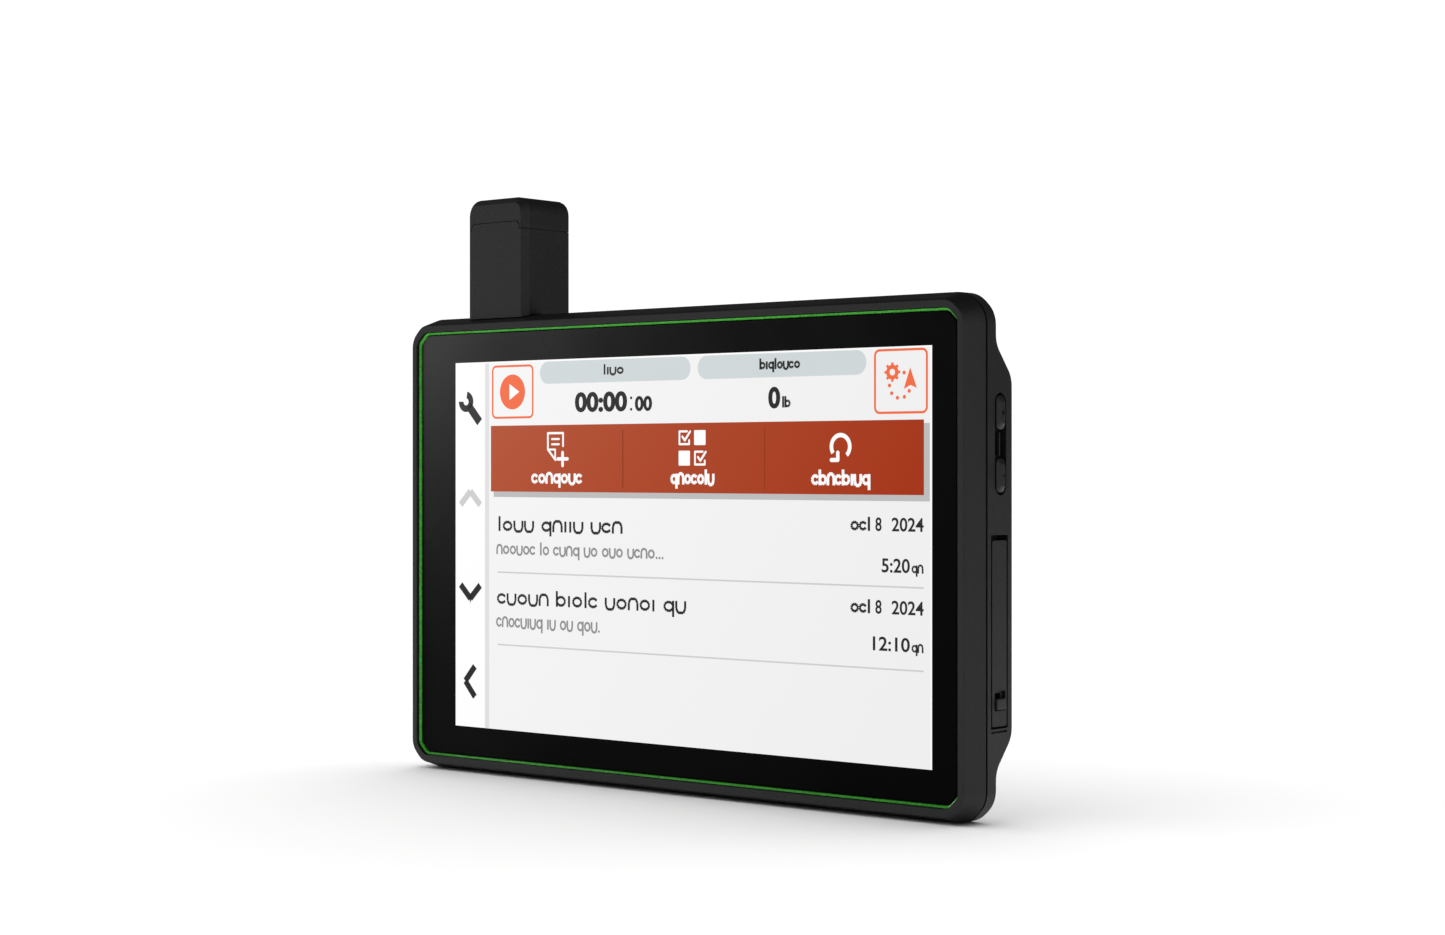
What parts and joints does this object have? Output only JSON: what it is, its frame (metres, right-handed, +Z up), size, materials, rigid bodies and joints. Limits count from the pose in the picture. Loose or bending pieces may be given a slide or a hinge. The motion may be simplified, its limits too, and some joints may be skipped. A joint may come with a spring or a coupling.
{
  "type": "rugged vehicle navigator",
  "caption": "Rugged landscape touchscreen satellite navigator with a square antenna tower, side keys and a latched port door.",
  "frame": {"origin": "middle of the object's box at its lowest point, where it stands on its bottom edge", "axes": "+X to the viewer's right, +Y from the screen to the back, +Z up"},
  "size_m": [0.2056, 0.0266, 0.1695],
  "materials": {
    "black_plastic": "fine moulded texture",
    "key_plastic": "satin",
    "door_plastic": "fine moulded texture",
    "green_trim": "satin",
    "cover_glass": "polished",
    "display": "lit screen",
    "rubber": "matt",
    "steel": "brushed",
    "foil": "tinned",
    "battery_foil": "foil wrap",
    "dock_aluminium": "dark anodised",
    "brass": "knurled",
    "gold": "gold plated",
    "circuit_board": "solder mask",
    "amber_film": "film",
    "card_plastic": "satin",
    "ceramic": "unglazed"
  },
  "bodies": {
    "navigator": {"front_bezel": "black_plastic", "trim_ring": "green_trim", "cover_glass": "cover_glass", "glass_seal": "rubber", "display_panel": "display", "display_tray": "steel", "display_flex": "amber_film", "housing_gasket": "rubber", "rear_cover": "black_plastic", "main_board": "circuit_board", "processor_shield": "foil", "radio_shield": "foil", "gps_patch_antenna": "ceramic", "battery_pack": "battery_foil", "battery_tray": "black_plastic", "speaker": "black_plastic", "speaker_mesh": "foil", "side_board": "circuit_board", "port_board": "circuit_board", "volume_up_switch": "foil", "volume_down_switch": "foil", "power_switch": "foil", "hinge_pin": "steel", "usb_socket": "steel", "card_socket": "steel", "memory_card": "card_plastic", "antenna_housing": "black_plastic", "antenna_cap": "black_plastic", "antenna_seal": "rubber", "antenna_core": "ceramic", "antenna_coil": "brass", "antenna_coax": "rubber", "dock_plate": "dock_aluminium", "contact_block": "black_plastic", "vent_plug": "rubber", "antenna_screw_1": "steel", "antenna_screw_2": "steel", "housing_screw_1": "steel", "dock_screw_1": "steel", "dock_insert_1": "brass", "contact_pin_1": "gold", "housing_screw_2": "steel", "dock_screw_2": "steel", "dock_insert_2": "brass", "contact_pin_2": "gold", "housing_screw_3": "steel", "dock_screw_3": "steel", "dock_insert_3": "brass", "contact_pin_3": "gold", "housing_screw_4": "steel", "dock_screw_4": "steel", "dock_insert_4": "brass", "contact_pin_4": "gold"},
    "volume_up": {"volume_up_button": "key_plastic"},
    "volume_down": {"volume_down_button": "key_plastic"},
    "power": {"power_button": "key_plastic"},
    "door": {"port_door": "door_plastic", "door_seal": "rubber"},
    "latch": {"door_latch": "key_plastic"}
  },
  "joints": [
    {"name": "volume_up_press", "type": "slide", "parent": "navigator", "child": "volume_up", "axis": [-1, 0, 0], "range_m": [0, 0.0007], "stiffness_N_per_m": 800},
    {"name": "volume_down_press", "type": "slide", "parent": "navigator", "child": "volume_down", "axis": [-1, 0, 0], "range_m": [0, 0.0007], "stiffness_N_per_m": 800},
    {"name": "power_press", "type": "slide", "parent": "navigator", "child": "power", "axis": [0, 0, -1], "range_m": [0, 0.0006], "stiffness_N_per_m": 800},
    {"name": "door_swing", "type": "hinge", "parent": "navigator", "child": "door", "pos_m": [0.10065, -0.0005, 0.07065], "axis": [0, -1, 0], "range_deg": [0, 110]},
    {"name": "latch_slide", "type": "slide", "parent": "door", "child": "latch", "axis": [0, 0, 1], "range_m": [0, 0.0016]}
  ]
}
